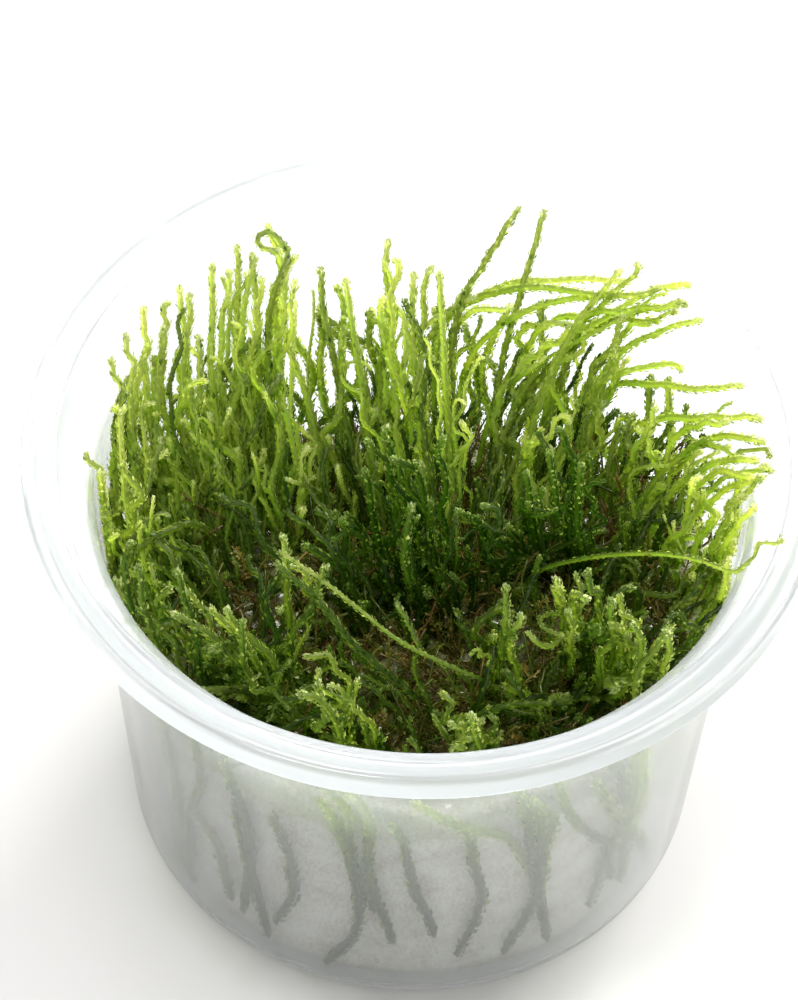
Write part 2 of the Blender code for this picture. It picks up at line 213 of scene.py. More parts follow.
def milky_plastic():
    """Smooth, nearly clear plastic with milk in it, most where the rim is thick."""
    material, tree, shader = new_material("milky_plastic")
    out = tree.nodes["Material Output"]
    shader.inputs["Transmission Weight"].default_value = 0.93
    shader.inputs["IOR"].default_value = 1.45
    place = add_node(tree, "ShaderNodeTexCoord")
    mottle = mottle_node(
        tree, place.outputs["Object"], blotch_scale=30.0, fine_scale=160.0, fine_share=0.3
    )
    colour = ramp_node(tree, [(0.3, (0.91, 0.925, 0.94)), (0.7, (0.93, 0.945, 0.955))])
    rough = add_node(tree, "ShaderNodeMapRange", {"To Min": 0.05, "To Max": 0.10})
    bump = add_node(tree, "ShaderNodeBump", {"Strength": 0.05, "Distance": 0.05 * MM})
    # The plastic looks greyer where it is seen at a slant, through more of it
    edge = add_node(tree, "ShaderNodeLayerWeight", {"Blend": 0.35})
    slanting = add_node(tree, "ShaderNodeMapRange", {"From Min": 0.45})
    edged = add_node(tree, "ShaderNodeMix", data_type="RGBA")
    edged.inputs["B"].default_value = (0.66, 0.70, 0.72, 1.0)
    wire(
        tree,
        (mottle, "Mask", colour, "Fac"), (edge, "Facing", slanting, "Value"),
        (slanting, "Result", edged, "Factor"), (colour, "Color", edged, "A"),
        (edged, "Result", shader, "Base Color"),
        (mottle, "Mask", rough, "Value"), (rough, "Result", shader, "Roughness"),
        (mottle, "Height", bump, "Height"), (bump, "Normal", shader, "Normal"),
    )
    # The milk scatters light, and there is more of it in the seat and the rim
    glow = add_node(tree, "ShaderNodeBsdfTranslucent", {"Color": (0.82, 0.845, 0.88, 1.0)})
    milk = add_node(tree, "ShaderNodeMixShader")
    split = add_node(tree, "ShaderNodeSeparateXYZ")
    thick = add_node(tree, "ShaderNodeMapRange", {
        "From Min": MILK_FROM_HEIGHT * MM, "From Max": MILK_FULL_HEIGHT * MM,
        "To Min": 0.12, "To Max": 0.26,
    })
    # Light goes through it to the moss and to the floor, and so do bounced rays
    clear = add_node(tree, "ShaderNodeBsdfTransparent", {"Color": (0.92, 0.925, 0.92, 1.0)})
    rays = add_node(tree, "ShaderNodeLightPath")
    cast = add_node(tree, "ShaderNodeMixShader")
    soft = add_node(tree, "ShaderNodeMixShader")
    wire(
        tree,
        (place, "Object", split, "Vector"), (split, "Z", thick, "Value"),
        (thick, "Result", milk, "Fac"), (shader, "BSDF", milk, 1), (glow, "BSDF", milk, 2),
        (rays, "Is Shadow Ray", cast, "Fac"), (milk, "Shader", cast, 1), (clear, "BSDF", cast, 2),
        (rays, "Is Diffuse Ray", soft, "Fac"), (cast, "Shader", soft, 1), (clear, "BSDF", soft, 2),
        (soft, "Shader", out, "Surface"),
    )
    return material


cup = new_piece("cup_shell", cup_mesh(), milky_plastic())
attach(cup, "root")
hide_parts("cup")


# Cushion: the old, dead lower stems of the moss, which matted together as they grew. It
# stands on the cup's floor and fills more than half of the cup. Its wet, brown-olive top
# is lumpy, hollow near the front and lower at the back, and its side and edge are pale grey.

CUSHION_HEIGHT = 43.5
CUSHION_LUMP = 1.1
CUSHION_LUMP_LENGTHS = (5.3, 4.7, 3.9)
CUSHION_HOLLOW_DEPTH = 2.2
CUSHION_HOLLOW_Y = -13.0
CUSHION_HOLLOW_SPREAD = 190.0
CUSHION_BACK = 15.0
CUSHION_BACK_SLOPE = 1.3
CUSHION_BACK_FOOT = 23.0
CUSHION_CLEARANCE = 2.8
CUSHION_LEAST_CLEARANCE = 2.2
CUSHION_BOTTOM = 1.5
CUSHION_RINGS = 60
CUSHION_TURNS = 170
CUSHION_ROUGHNESS = 0.9
CLEFT_SCALE = 0.45
CLEFT_SCALE_UP = 0.3
CLEFT_SHARE = 1.1
KNOT_SCALE = 1.3
KNOT_SHARE = 0.8
CUSHION_EDGE_CALM = 0.4
CUSHION_BROWN_ABOVE = 40.5
CUSHION_PALE_BELOW = 36.5
CUSHION_BROWN_WITHIN = 34.5
CUSHION_PALE_BEYOND = 37.0


def ground(x, y):
    """Height of the cushion's top at a place."""
    in_x, in_y, aslant = CUSHION_LUMP_LENGTHS
    lumps = math.sin(x / in_x) * math.cos(y / in_y) + math.sin((x + y) / aslant)
    from_hollow = x * x + (y - CUSHION_HOLLOW_Y) ** 2
    hollow = CUSHION_HOLLOW_DEPTH * math.exp(-from_hollow / CUSHION_HOLLOW_SPREAD)
    top = CUSHION_HEIGHT + CUSHION_LUMP * lumps - hollow
    slope = CUSHION_HEIGHT - CUSHION_BACK_SLOPE * (y - CUSHION_BACK)
    return max(min(top, slope), CUSHION_BACK_FOOT)


def crumple(x, y, z):
    """Unevenness of the matted stems: long clefts with small knots between them."""
    clefts = noise.noise(Vector((x * CLEFT_SCALE, y * CLEFT_SCALE, z * CLEFT_SCALE_UP)))
    knots = noise.noise(Vector((x * KNOT_SCALE + 9.0, y * KNOT_SCALE, z * KNOT_SCALE)))
    return CUSHION_ROUGHNESS * (CLEFT_SHARE * clefts + KNOT_SHARE * knots)


def cushion_point(share, turn):
    """A point on the cushion's skin: share 0 to 1 is the top, 1 to 2 is the side."""
    x_way = math.cos(turn)
    y_way = math.sin(turn)
    edge = inner_radius(CUSHION_HEIGHT) - CUSHION_CLEARANCE
    if share <= 1:
        reach = share * edge
        z = ground(reach * x_way, reach * y_way)
        inward = min(1, 4 * (1 - share))
        rough = CUSHION_EDGE_CALM + (1 - CUSHION_EDGE_CALM) * inward
        z += crumple(reach * x_way, reach * y_way, z) * rough
    else:
        z = ground(edge * x_way, edge * y_way)
        z = z + (CUSHION_BOTTOM - z) * (share - 1)
        reach = edge + CUSHION_EDGE_CALM * crumple(edge * x_way, edge * y_way, z)
    reach = min(reach, inner_radius(z) - CUSHION_LEAST_CLEARANCE)
    return (reach * x_way * MM, reach * y_way * MM, max(z, CUSHION_BOTTOM) * MM)


def cushion_mesh():
    """The cushion's skin, closed in the middle of its top and at its bottom."""
    bm = bmesh.new()
    rings = []
    for share in np.linspace(0, 2, CUSHION_RINGS)[1:]:
        turns = [math.tau * k / CUSHION_TURNS for k in range(CUSHION_TURNS)]
        rings.append([bm.verts.new(cushion_point(share, turn)) for turn in turns])
    for inner, outer in zip(rings, rings[1:]):
        for k in range(CUSHION_TURNS):
            after = (k + 1) % CUSHION_TURNS
            bm.faces.new((inner[k], outer[k], outer[after], inner[after]))
    bm.faces.new(rings[0])
    bm.faces.new(list(reversed(rings[-1])))
    mesh = bpy.data.meshes.new("moss_cushion")
    bm.to_mesh(mesh)
    bm.free()
    mesh.shade_smooth()
    return mesh


def matted_stems():
    """Wet matted fibre, brown-olive on top and pale grey at the side and round the edge."""
    material, tree, shader = new_material("matted_stems")
    shader.inputs["Coat Weight"].default_value = 0.35
    shader.inputs["Coat Roughness"].default_value = 0.16
    place = add_node(tree, "ShaderNodeTexCoord")
    mottle = mottle_node(
        tree, place.outputs["Object"], blotch_scale=220.0, fine_scale=2400.0, fine_share=0.65
    )
    colour = ramp_node(tree, [
        (0.32, (0.009, 0.010, 0.001)), (0.45, (0.038, 0.040, 0.006)),
        (0.56, (0.088, 0.082, 0.013)), (0.68, (0.165, 0.135, 0.028)),
    ])
    pale = ramp_node(tree, [
        (0.36, (0.30, 0.27, 0.16)), (0.44, (0.50, 0.48, 0.38)),
        (0.54, (0.67, 0.65, 0.60)), (0.66, (0.76, 0.75, 0.72)),
    ])
    rough = add_node(tree, "ShaderNodeMapRange", {"To Min": 0.5, "To Max": 0.9})
    bump = add_node(tree, "ShaderNodeBump", {"Strength": 0.8, "Distance": 0.5 * MM})
    # Pale grey by depth below the top, and by distance from the cup's axis
    split = add_node(tree, "ShaderNodeSeparateXYZ")
    depth = add_node(tree, "ShaderNodeMapRange", {
        "From Min": CUSHION_BROWN_ABOVE * MM, "From Max": CUSHION_PALE_BELOW * MM,
    })
    flat = add_node(tree, "ShaderNodeVectorMath", {1: (1.0, 1.0, 0.0)}, operation="MULTIPLY")
    reach = add_node(tree, "ShaderNodeVectorMath", operation="LENGTH")
    rim = add_node(tree, "ShaderNodeMapRange", {
        "From Min": CUSHION_BROWN_WITHIN * MM, "From Max": CUSHION_PALE_BEYOND * MM,
        "To Max": 0.65,
    })
    either = add_node(tree, "ShaderNodeMath", operation="MAXIMUM")
    paled = add_node(tree, "ShaderNodeMix", data_type="RGBA")
    wire(
        tree,
        (place, "Object", split, "Vector"), (split, "Z", depth, "Value"),
        (place, "Object", flat, 0), (flat, "Vector", reach, 0), (reach, "Value", rim, "Value"),
        (depth, "Result", either, 0), (rim, "Result", either, 1),
        (either, "Value", paled, "Factor"),
        (mottle, "Mask", colour, "Fac"), (colour, "Color", paled, "A"),
        (mottle, "Mask", pale, "Fac"), (pale, "Color", paled, "B"),
        (paled, "Result", shader, "Base Color"),
        (mottle, "Mask", rough, "Value"), (rough, "Result", shader, "Roughness"),
        (mottle, "Height", bump, "Height"), (bump, "Normal", shader, "Normal"),
    )
    return material


cushion = new_piece("moss_cushion", cushion_mesh(), matted_stems())
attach(cushion, "root")
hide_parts("moss_mat")


# Old stems: dead lower stems, brown and olive and wet, with shrunken leaves still on
# most of them. They wind over the cushion and stand in it between the living shoots.
# They are the same plant, grown together.

WINDING_STEMS = 820
WINDING_REACH = 36.5
WINDING_STEP = 1.1
WINDING_POINTS = (7, 18)
WINDING_RISES = (0.4, 2.4)
WINDING_CLEARANCE = 1.8
UPRIGHT_STEMS = 760
UPRIGHT_REACH = 36.0
UPRIGHT_HEIGHTS = (3.0, 9.0)
UPRIGHT_LEAN = (0.05, 0.35)
UPRIGHT_CLEARANCE = 0.8
OLD_STEMS_FRONT = -30.0
OLD_STEM_GIRTHS = (0.10, 0.22)
OLD_LEAF_SPACING = 0.21
OLD_LEAF_SIZE = 0.62
OLD_LEAF_SPREAD = 0.85
BARE_SHARE = 0.2
STEM_SIDES = 3

# A leaf's shape, in shares of its length: folded along its middle and widest near there
LEAF_WIDEST = 0.45
LEAF_HALF_WIDTH = 0.27
LEAF_FOLD = 0.10
LEAF_TURN = 2.4
LEAF_TONE_SPREAD = 0.24
# How much older or younger than its stem a leaf's foot, two sides and tip look
LEAF_AGES = (-0.10, 0.04, 0.04, 0.09)
BUD_LENGTH = 1.0
BUD_LEAF_SIZE = 0.85
BUD_OPENING = 1.25
BUD_CUPPING = 0.6


def held_in_cup(point, clearance):
    """The point, drawn in towards the axis where the wall is in its way."""
    x, y, z = point
    reach = math.hypot(x, y)
    limit = inner_radius(z) - clearance
    if z > CUP_HEIGHT or reach <= limit:
        return np.array(point)
    return np.array((x * limit / reach, y * limit / reach, z))


def new_growth():
    """Empty lists of corners, triangles and marks, for stems and leaves to be added to."""
    return {"corners": [], "faces": [], "marks": [], "count": 0}


def add_to_growth(growth, corners, faces, marks):
    """Adds a stem or its leaves, with a tone and an age as marks on each corner."""
    growth["corners"].append(corners)
    growth["faces"].append(faces + growth["count"])
    growth["marks"].append(marks)
    growth["count"] += len(corners)


def side_ways(path):
    """Unit vectors along a path and two across it, which don't twist about it."""
    along = np.gradient(path, axis=0)
    along /= np.linalg.norm(along, axis=1)[:, None] + 1e-9
    across = np.zeros_like(path)
    way = np.cross(along[0], (0.3, 0.9, 0.1))
    for k, ahead in enumerate(along):
        way = way - ahead * way.dot(ahead)
        way = way / (np.linalg.norm(way) + 1e-9)
        across[k] = way
    return along, across, np.cross(along, across)


def evenly(path, count):
    """The path read again at even steps."""
    run = np.concatenate([[0], np.cumsum(np.linalg.norm(np.diff(path, axis=0), axis=1))])
    steps = np.linspace(0, run[-1], count)
    return np.column_stack([np.interp(steps, run, path[:, k]) for k in range(3)])


def grow_stem(growth, path, girths, ages, tone):
    """A thin round stem: a ring of corners at each point of the path and a pointed end."""
    along, across, other = side_ways(path)
    turns = np.arange(STEM_SIDES) * math.tau / STEM_SIDES
    ring = (
        across[:, None] * np.cos(turns)[None, :, None]
        + other[:, None] * np.sin(turns)[None, :, None]
    )
    corners = (path[:, None] + ring * girths[:, None, None]).reshape(-1, 3)
    corners = np.vstack([corners, path[-1] + along[-1] * girths[-1]])
    here = np.arange((len(path) - 1) * STEM_SIDES)
    after = here - here % STEM_SIDES + (here + 1) % STEM_SIDES
    above = here + STEM_SIDES
    sides = np.column_stack([here, after, after + STEM_SIDES, here, after + STEM_SIDES, above])
    last = (len(path) - 1) * STEM_SIDES + np.arange(STEM_SIDES)
    end = np.column_stack([last, np.roll(last, -1), np.full(STEM_SIDES, len(corners) - 1)])
    marks = np.column_stack([
        np.full(len(corners), tone), np.append(np.repeat(ages, STEM_SIDES), ages[-1])
    ])
    add_to_growth(growth, corners, np.vstack([sides.reshape(-1, 3), end]), marks)


def grow_leaves(growth, path, spacing, sizes, spreads, roots, ages, tone, rng, bud=0):
    """Small folded, pointed leaves in a spiral up the path, and a bud of them at its end."""
    length = np.linalg.norm(np.diff(path, axis=0), axis=1).sum()
    along_stem = max(3, int(length / spacing))
    at = (np.arange(along_stem) + rng.uniform(-0.3, 0.3, along_stem)) / along_stem
    at = np.clip(np.concatenate([at, 1 - rng.uniform(0, BUD_LENGTH / length, bud)]), 0, 1)
    count = len(at)
    grid = np.linspace(0, 1, len(path))
    along, across, other = side_ways(path)

    def read(values):
        return np.column_stack([np.interp(at, grid, values[:, k]) for k in range(3)])

    turn = np.arange(count) * LEAF_TURN + rng.uniform(-0.35, 0.35, count)
    ahead = read(along)
    out = read(across) * np.cos(turn)[:, None] + read(other) * np.sin(turn)[:, None]
    wide = np.cross(ahead, out)
    size = np.interp(at, grid, sizes) * rng.uniform(0.75, 1.2, count)
    spread = np.interp(at, grid, spreads) * rng.uniform(0.6, 1.4, count)
    spread[along_stem:] = rng.uniform(0.0, BUD_OPENING, bud)
    size[along_stem:] *= BUD_LEAF_SIZE
    root = np.interp(at, grid, roots)
    lift = ahead * np.cos(spread)[:, None] + out * np.sin(spread)[:, None]
    bent = spread + rng.uniform(-0.3, 0.25, count)
    bent[along_stem:] -= BUD_CUPPING
    end = ahead * np.cos(bent)[:, None] + out * np.sin(bent)[:, None]
    base = read(path) + out * root[:, None]
    middle = base + lift * (LEAF_WIDEST * size)[:, None]
    half = (LEAF_HALF_WIDTH * size * rng.uniform(0.8, 1.15, count))[:, None]
    fold = out * (LEAF_FOLD * size)[:, None]
    tip = middle + end * ((1 - LEAF_WIDEST) * size)[:, None]
    left_side = middle + wide * half + fold
    right_side = middle - wide * half + fold
    corners = np.stack([base, left_side, right_side, tip], axis=1)
    first = np.arange(count)[:, None, None] * 4
    faces = first + np.array([[0, 2, 3], [0, 3, 1]])[None]
    age = np.repeat(np.interp(at, grid, ages), 4) + np.tile(LEAF_AGES, count)
    own_tone = np.repeat(tone + rng.normal(0, LEAF_TONE_SPREAD, count), 4)
    marks = np.stack([np.clip(own_tone, 0.02, 0.98), np.clip(age, 0.02, 0.98)], axis=1)
    add_to_growth(growth, corners.reshape(-1, 3), faces.reshape(-1, 3), marks)


def growth_piece(name, growth, material):
    """One piece of all that has grown, with each corner's tone and age kept as a map."""
    corners = np.concatenate(growth["corners"]) * MM
    faces = np.concatenate(growth["faces"])
    marks = np.concatenate(growth["marks"])
    mesh = bpy.data.meshes.new(name)
    mesh.from_pydata(corners, [], faces)
    layer = mesh.uv_layers.new(name="OFBake")
    loop_corner = np.zeros(len(mesh.loops), np.int32)
    mesh.loops.foreach_get("vertex_index", loop_corner)
    layer.uv.foreach_set("vector", marks[loop_corner].astype(np.float32).ravel())
    mesh.shade_smooth()
    return new_piece(name, mesh, material)


def leafy(name, shaded_stops, lit_stops, glow_colour, glow_share, shadow_colour, roughness):
    """Thin damp leaves, which let light through and shade what is under them.

    The map's first number is the tone, painted light and shade that mixes a shaded and a lit
    copy of each colour; it also varies at random from shoot to shoot and leaf to leaf. Its
    second is the age, from the foot of a shoot to the youngest leaves at its tip.
    """
    material, tree, shader = new_material(name)
    out = tree.nodes["Material Output"]
    shader.inputs["IOR"].default_value = 1.42
    marks = add_node(tree, "ShaderNodeUVMap", uv_map="OFBake")
    split = add_node(tree, "ShaderNodeSeparateXYZ")
    # Painted light and shade: the tone mixes a shaded and a lit copy of the colours
    shaded = ramp_node(tree, shaded_stops)
    lit = ramp_node(tree, lit_stops)
    colour = add_node(tree, "ShaderNodeMix", data_type="RGBA")
    # The mottle turns the hue a little, from yellower to greener
    stretch = add_node(tree, "ShaderNodeVectorMath", {1: (14.0, 7.0, 1.0)}, operation="MULTIPLY")
    mottle = mottle_node(
        tree, stretch.outputs["Vector"], blotch_scale=1.0, fine_scale=3.0, fine_share=0.4
    )
    flecks = add_node(tree, "ShaderNodeMapRange", {
        "From Min": 0.3, "From Max": 0.7, "To Min": 0.478, "To Max": 0.518,
    })
    tint = add_node(tree, "ShaderNodeHueSaturation")
    rough = add_node(tree, "ShaderNodeMapRange", {
        "To Min": roughness - 0.08, "To Max": roughness + 0.12,
    })
    # Light that comes through a leaf is stronger and yellower than what it sends back
    through = add_node(tree, "ShaderNodeMix", data_type="RGBA", blend_type="MULTIPLY")
    through.inputs["Factor"].default_value = 1.0
    through.inputs["B"].default_value = (*glow_colour, 1.0)
    glow = add_node(tree, "ShaderNodeBsdfTranslucent")
    mix = add_node(tree, "ShaderNodeMixShader", {"Fac": glow_share})
    # A leaf's shadow is green and not quite dark
    clear = add_node(tree, "ShaderNodeBsdfTransparent", {"Color": (*shadow_colour, 1.0)})
    rays = add_node(tree, "ShaderNodeLightPath")
    cast = add_node(tree, "ShaderNodeMixShader")
    wire(
        tree,
        (marks, "UV", split, "Vector"), (marks, "UV", stretch, 0),
        (split, "Y", shaded, "Fac"), (split, "Y", lit, "Fac"), (split, "X", colour, "Factor"),
        (shaded, "Color", colour, "A"), (lit, "Color", colour, "B"),
        (mottle, "Mask", flecks, "Value"), (flecks, "Result", tint, "Hue"),
        (colour, "Result", tint, "Color"), (tint, "Color", shader, "Base Color"),
        (mottle, "Mask", rough, "Value"), (rough, "Result", shader, "Roughness"),
        (tint, "Color", through, "A"), (through, "Result", glow, "Color"),
        (shader, "BSDF", mix, 1), (glow, "BSDF", mix, 2),
        (rays, "Is Shadow Ray", cast, "Fac"), (mix, "Shader", cast, 1), (clear, "BSDF", cast, 2),
        (cast, "Shader", out, "Surface"),
    )
    return material


def winding_path(rng):
    """A dead stem that winds over the cushion's top, dipping in and out of it."""
    turn = rng.uniform(0, math.tau)
    reach = WINDING_REACH * math.sqrt(rng.uniform(0, 1))
    x, y = reach * math.cos(turn), reach * math.sin(turn)
    way = rng.uniform(0, math.tau)
    bend = rng.normal(0, 0.18)
    phase = rng.uniform(0, math.tau)
    rise = rng.uniform(*WINDING_RISES)
    points = []
    for k in range(int(rng.uniform(*WINDING_POINTS))):
        z = ground(x, y) + 0.5 + rise * math.sin(phase + 0.45 * k)
        points.append(held_in_cup((x, y, z), WINDING_CLEARANCE))
        way += bend + rng.normal(0, 0.28)
        x += WINDING_STEP * math.cos(way)
        y += WINDING_STEP * math.sin(way)
    return np.array(points)


def upright_path(rng):
    """An old stem that still stands in the cushion and leans over."""
    turn = rng.uniform(0, math.tau)
    reach = UPRIGHT_REACH * math.sqrt(rng.uniform(0, 1))
    x, y = reach * math.cos(turn), reach * math.sin(turn)
    tall = rng.uniform(*UPRIGHT_HEIGHTS)
    lean = rng.normal(0, 0.45, 2) + UPRIGHT_LEAN
    start = np.array((x, y, ground(x, y) - 1.0))
    share = np.linspace(0, 1, max(5, int(tall)))[:, None]
    rise = np.array((0, 0, tall)) * share
    points = start + rise + np.array((*lean, 0)) * tall * share ** 1.6
    points += rng.normal(0, 0.18, points.shape)
    return np.array([held_in_cup(point, UPRIGHT_CLEARANCE) for point in points])


dead_leaf = leafy(
    "dead_leaf",
    [
        (0.0, (0.034, 0.018, 0.004)), (0.3, (0.046, 0.034, 0.006)),
        (0.6, (0.036, 0.042, 0.005)), (1.0, (0.022, 0.050, 0.004)),
    ],
    [
        (0.0, (0.170, 0.095, 0.028)), (0.3, (0.260, 0.205, 0.060)),
        (0.6, (0.190, 0.205, 0.036)), (1.0, (0.115, 0.200, 0.020)),
    ],
    glow_colour=(1.5, 1.4, 0.8), glow_share=0.40, shadow_colour=(0.46, 0.46, 0.18),
    roughness=0.16,
)


def old_stems(name, seed, lay, count):
    """A piece of many old stems, all laid in one way and none near the front wall."""
    rng = np.random.default_rng(seed)
    growth = new_growth()
    for number in range(count):
        path = lay(rng)
        if path[:, 1].mean() < OLD_STEMS_FRONT:
            continue
        girths = np.full(len(path), rng.uniform(*OLD_STEM_GIRTHS))
        ages = np.full(len(path), rng.uniform(0.0, 1.0))
        tone = rng.beta(1.3, 2.2)
        grow_stem(growth, path, girths, ages, tone)
        if rng.uniform() > BARE_SHARE:
            sizes = np.full(len(path), OLD_LEAF_SIZE)
            spreads = np.full(len(path), OLD_LEAF_SPREAD)
            grow_leaves(growth, path, OLD_LEAF_SPACING, sizes, spreads, girths, ages, tone, rng)
    piece = growth_piece(name, growth, dead_leaf)
    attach(piece, "root")


old_stems("old_stem_tangle", 21, winding_path, WINDING_STEMS)
old_stems("old_standing_stems", 22, upright_path, UPRIGHT_STEMS)


# Living shoots: limp green stems set all round with tiny folded leaves, with a paler
# rounded bud of new leaves at the tip. They rise from the cushion, lean back and
# outwards towards the light, and run side by side in loose locks.

SOLID_RING_CORNERS = 8
SMOOTH_STEPS = 10
PATH_POINTS = 60
SHOOT_FOOT_DEPTH = 3.0
SHOOT_STEP = 1.1
SHOOT_CLEARANCE = 1.1
SHOOT_BENDS = (1.3, 2.7, 5.5, 9.0)
PALE_TIP_LENGTH = 2.2
ROUNDED_TIP_LENGTH = 0.9
LEAF_SPACING = 0.17
LEAF_SIZE = 0.95
LEAF_SPREAD = 0.35
CORE_GIRTH = 0.48
BUD_LEAVES = 28
BARE_GIRTH = 0.34
BARE_LEAF_SPACING = 0.22
BARE_BUD_LEAVES = 16
HOOK_LENGTHS = (1.6, 3.4)
HOOKED_SHARE = 0.5
BRANCH_SHARE = 0.35

# How soft the bends of a traced shoot are, of the curl, of an added one and a neighbour
TRACED_BEND = 0.3
CURL_BEND = 0.05
ADDED_BEND = 0.9
NEIGHBOUR_BEND = 1.6

# How far from the cup's axis a shoot may stand at the front and elsewhere, and how far
# forward of the axis the front begins and has fully begun, as shares of that distance
FRONT_REACH = 31.5
SIDE_REACH = 40.0
FRONT_BEGINS = 0.35
FRONT_FULL = 0.70

# The open parting behind the left locks: its middle, half its width, how far behind the
# cup's axis it starts and over what run it opens, and how far shoots may cross before it
PARTING = -14.2
PARTING_HALF = 3.2
PARTING_START = 9.0
PARTING_RUN = 6.0
PARTING_ROOM = 8.0


def centre_line(node):
    """Middle line of a single shoot's solid, from foot to tip, ring by ring."""
    corners = np.array([v.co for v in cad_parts[node].data.vertices]) / MM
    corners = np.unique(np.round(corners, 3), axis=0)
    here = corners[corners[:, 2].argmin()]
    left = np.ones(len(corners), bool)
    middles = []
    while left.sum() >= SOLID_RING_CORNERS:
        far = np.linalg.norm(corners - here, axis=1)
        far[~left] = np.inf
        ring = np.argsort(far)[:SOLID_RING_CORNERS]
        left[ring] = False
        here = corners[ring].mean(axis=0)
        middles.append(here)
    return np.array(middles)


def smooth_path(points, count):
    """A smooth curve through the points, read at even steps."""
    points = np.asarray(points, float)
    ends = np.vstack([2 * points[0] - points[1], points, 2 * points[-1] - points[-2]])
    dense = []
    for a, b, c, d in zip(ends, ends[1:], ends[2:], ends[3:]):
        for t in np.linspace(0, 1, SMOOTH_STEPS, endpoint=False):
            bend = (2 * a - 5 * b + 4 * c - d) * t * t + (3 * b - a - 3 * c + d) * t ** 3
            dense.append((2 * b + (c - a) * t + bend) / 2)
    return evenly(np.vstack([dense, points[-1]]), count)


def rooted(points):
    """The path, its foot carried down into the cushion and its tip 1 mm further on."""
    foot = np.array((points[0][0], points[0][1], 0.0))
    foot[2] = ground(foot[0], foot[1]) + 0.5
    ahead = np.subtract(points[-1], points[-2])
    tip = points[-1] + ahead / np.linalg.norm(ahead)
    return np.vstack([foot - (0, 0, SHOOT_FOOT_DEPTH), foot, points[1:], tip])


def limp(path, amount, rng):
    """The path with small soft bends, as an unsupported stem has."""
    share = np.linspace(0, 1, len(path))
    shift = np.zeros_like(path)
    for waves in SHOOT_BENDS:
        way = rng.normal(0, 1, 3) * (1, 1, 0.3) * amount / waves ** 0.9
        phase = rng.uniform(0, math.tau)
        shift += np.sin(phase + waves * math.tau * share)[:, None] * way * share[:, None] ** 0.6
    return path + shift


def hooked(path, curl, rng):
    """The path with its last few millimetres curled over."""
    step = np.linalg.norm(path[-1] - path[-2])
    count = max(3, int(rng.uniform(*HOOK_LENGTHS) / step))
    axis = Vector(rng.normal(0, 1, 3)).normalized()
    turn = Matrix.Rotation(curl / count, 3, axis)
    way = Vector(path[-count] - path[-count - 1])
    curled = path.copy()
    for k in range(len(path) - count, len(path)):
        way = turn @ way
        curled[k] = curled[k - 1] + way
    return curled


def off_the_front(path):
    """The path, moved in where it would stand in the open gap by the front wall."""
    x, y = path[:, 0].mean(), path[:, 1].mean()
    reach = math.hypot(x, y)
    front = np.clip((-y / reach - FRONT_BEGINS) / (FRONT_FULL - FRONT_BEGINS), 0, 1)
    over = max(0.0, reach - (FRONT_REACH * front + SIDE_REACH * (1 - front)))
    return path - np.array((x, y, 0)) * over / reach


def parted(path):
    """The path kept on its foot's side of the open parting behind the left locks."""
    back = np.clip((path[:, 1] - PARTING_START) / PARTING_RUN, 0, 1)
    room = PARTING_ROOM - (PARTING_ROOM + PARTING_HALF) * back
    kept = path.copy()
    if path[0][0] < PARTING:
        kept[:, 0] = np.minimum(path[:, 0], PARTING + room)
    else:
        kept[:, 0] = np.maximum(path[:, 0], PARTING - room)
    return kept


def grow_shoot(growth, path, vigour, age_top, tone, rng):
    """One living shoot: its stem, the leaves round it and the bud at its tip."""
    length = np.linalg.norm(np.diff(path, axis=0), axis=1).sum()
    count = max(6, int(length / SHOOT_STEP))
    path = evenly(path, count)
    path = np.array([held_in_cup(point, SHOOT_CLEARANCE) for point in path])
    share = np.linspace(0, 1, count)
    to_tip = (1 - share) * length
    near_tip = np.clip(1 - to_tip / PALE_TIP_LENGTH, 0, 1)
    ages = age_top * (0.78 * share ** 0.9 + 0.22 * near_tip)
    taper = 1 - 0.4 * np.clip(1 - to_tip / ROUNDED_TIP_LENGTH, 0, 1) ** 2
    core = CORE_GIRTH * vigour * (0.8 + 0.2 * np.sin(math.pi * share)) * taper
    grow_stem(growth, path, core, ages, tone)
    size = LEAF_SIZE * vigour * (0.85 + 0.15 * np.sin(math.pi * share)) * (0.4 + 0.6 * taper)
    spread = LEAF_SPREAD * rng.uniform(0.75, 1.25) * (1.1 - 0.2 * share)
    grow_leaves(
        growth, path, LEAF_SPACING, size, spread, core * 0.8, ages, tone, rng, bud=BUD_LEAVES
    )


def grow_bare(growth, path, rng):
    """A long old strand: a thick yellow-green stem with only small leaves pressed to it."""
    path = np.array([held_in_cup(point, SHOOT_CLEARANCE) for point in path])
    share = np.linspace(0, 1, len(path))
    ages = 0.12 + 0.68 * share ** 1.5 + rng.uniform(-0.06, 0.06, len(path))
    core = BARE_GIRTH - 0.08 * share + rng.uniform(-0.04, 0.04, len(path))
    grow_stem(growth, path, core, ages, tone=0.6)
    size = 0.45 + 0.25 * share
    spread = 0.08 + 0.22 * share
    grow_leaves(
        growth, path, BARE_LEAF_SPACING, size, spread, core, ages, 0.55, rng, bud=BARE_BUD_LEAVES
    )


def side_branch(path, rng):
    """A short branch: it leaves the shoot aslant and bends up beside it."""
    at = int(len(path) * rng.uniform(0.35, 0.85))
    ahead = path[min(at + 2, len(path) - 1)] - path[at - 1]
    ahead /= np.linalg.norm(ahead)
    out = rng.normal(0, 1, 3)
    out -= ahead * out.dot(ahead)
    out /= np.linalg.norm(out)
    steps = np.linspace(0, 1, 8)[:, None]
    reach = rng.uniform(2.0, 6.5)
    return path[at] + reach * (ahead * steps + out * (0.75 * steps - 0.35 * steps ** 2))


